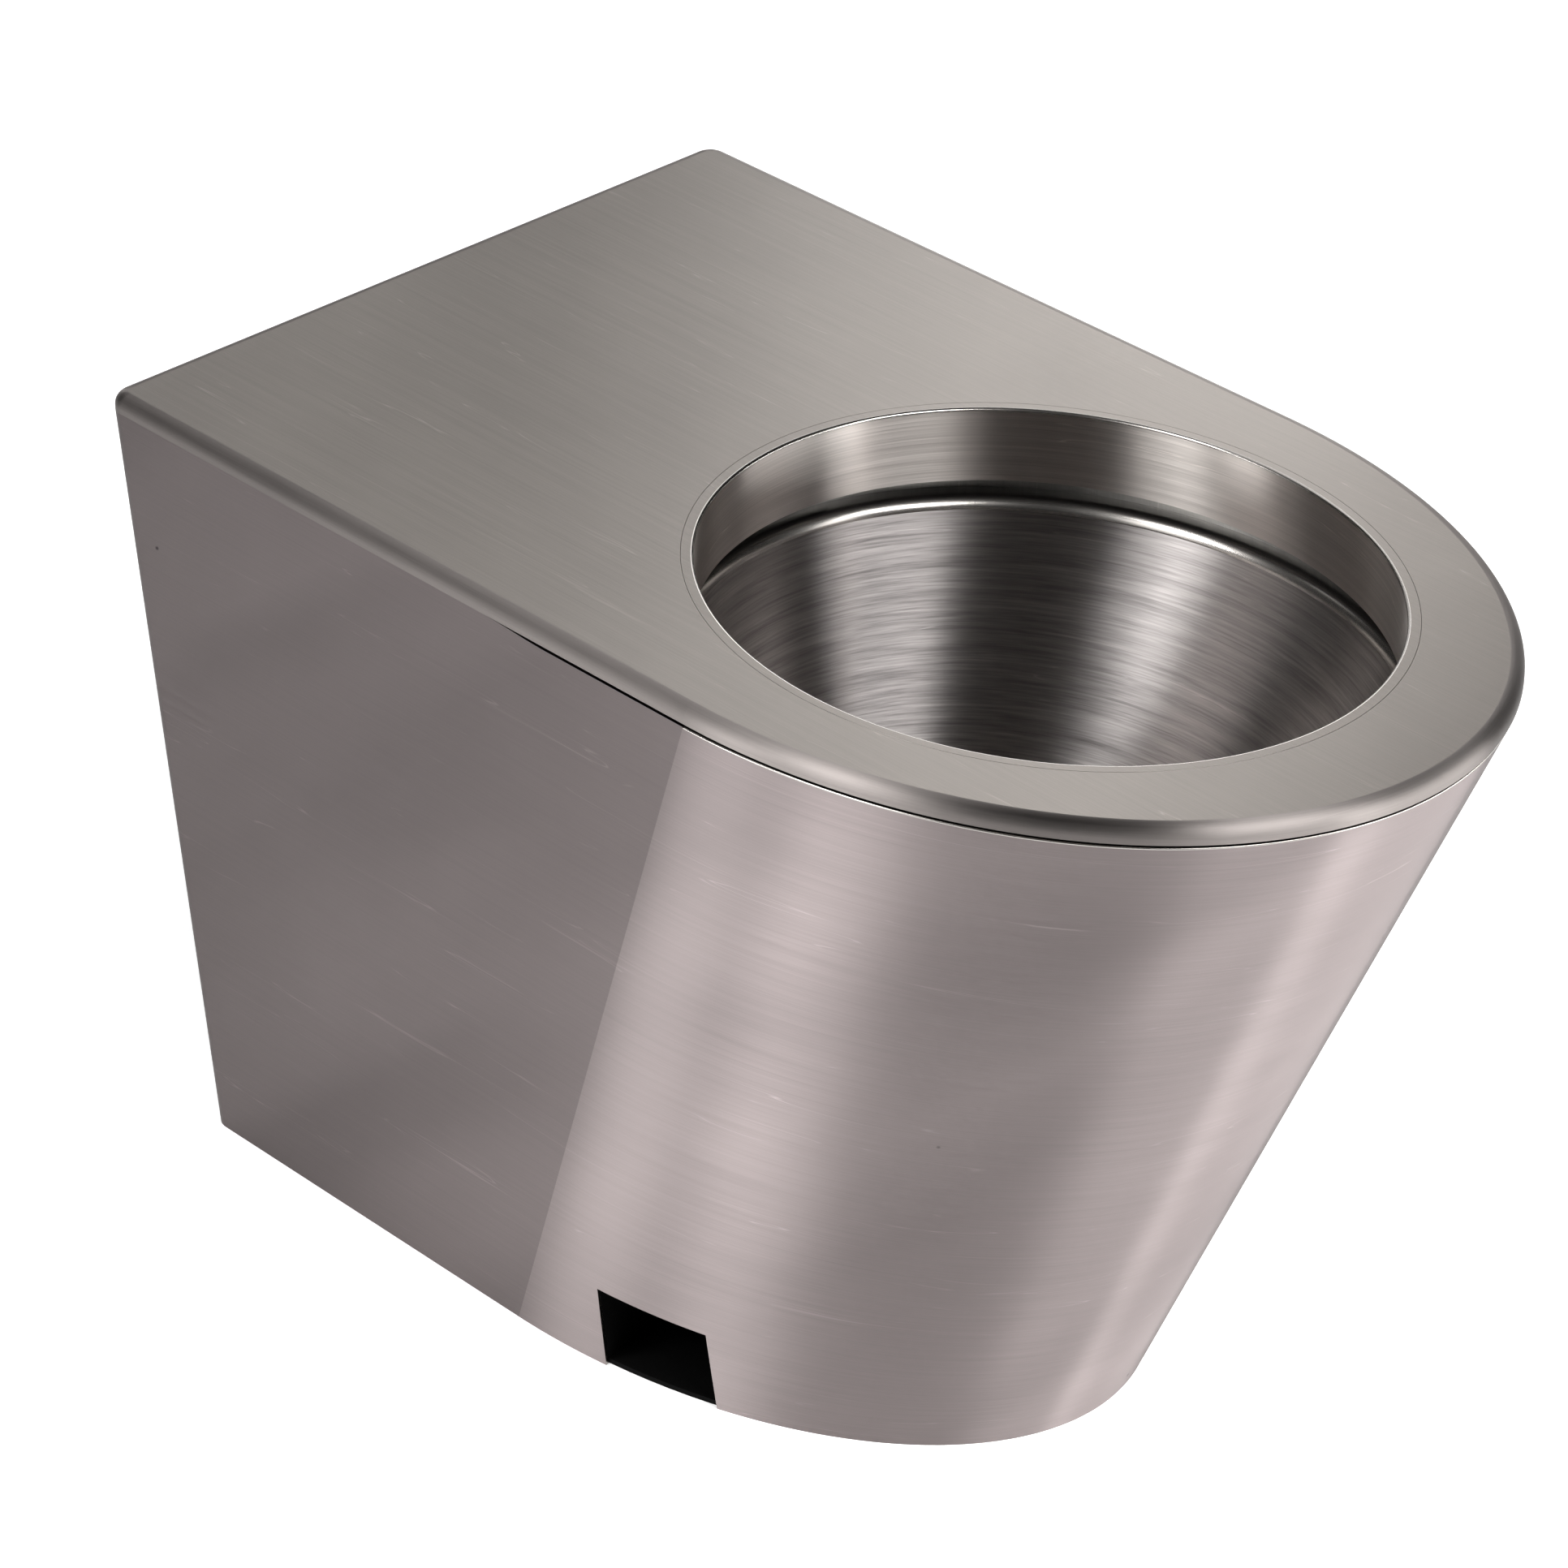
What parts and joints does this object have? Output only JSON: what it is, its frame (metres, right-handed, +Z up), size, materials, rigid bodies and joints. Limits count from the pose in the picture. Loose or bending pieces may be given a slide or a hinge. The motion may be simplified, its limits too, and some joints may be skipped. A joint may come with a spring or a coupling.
{
  "type": "toilet",
  "caption": "Floor-standing stainless steel toilet pan with a flat D-shaped deck, an oval opening with an upright collar, a flushing rim, a conical bowl and a P-trap inside a raked skirt.",
  "frame": {"origin": "on the floor, in the middle of the pan's outline seen from above", "axes": "+Z up, +Y towards the wall behind the pan, -Y towards the nose, +X to the right as seen from the front"},
  "size_m": [0.36, 0.6, 0.4],
  "materials": {
    "deck_steel": "brushed front to back, satin",
    "skirt_steel": "brushed, satin",
    "collar_steel": "brushed round the opening, its rolled edge polished",
    "bowl_steel": "brushed round the bowl, bright",
    "inner_steel": "dull mill finish",
    "dark_coating": "matt black anti-drumming coating",
    "seal_rubber": "matt black",
    "damping_pad": "matt, slightly rough"
  },
  "bodies": {
    "root": {"deck": "deck_steel", "opening_collar": "collar_steel", "side_panel_left": "skirt_steel", "side_panel_right": "skirt_steel", "front_apron": "skirt_steel", "joint_strip": "dark_coating", "rear_top_rail": "inner_steel", "rear_floor_rail": "inner_steel", "foot_bar_left": "inner_steel", "foot_bar_right": "inner_steel", "foot_bar_front": "inner_steel", "fixing_pocket_left": "dark_coating", "fixing_pocket_right": "dark_coating", "flush_channel": "inner_steel", "flush_chamber": "inner_steel", "flush_socket": "inner_steel", "flush_bush": "seal_rubber", "flow_splitter": "inner_steel", "bowl": "bowl_steel", "sump": "bowl_steel", "trap_inlet": "inner_steel", "trap_lower_bend": "inner_steel", "trap_riser": "inner_steel", "trap_upper_bend": "inner_steel", "outlet_reducer": "inner_steel", "outlet_spigot": "inner_steel", "outlet_stand": "inner_steel", "sump_stand": "inner_steel", "deck_rib_left": "inner_steel", "deck_rib_right": "inner_steel", "deck_pads": "damping_pad", "side_pad_left": "damping_pad", "side_pad_right": "damping_pad"}
  },
  "joints": []
}
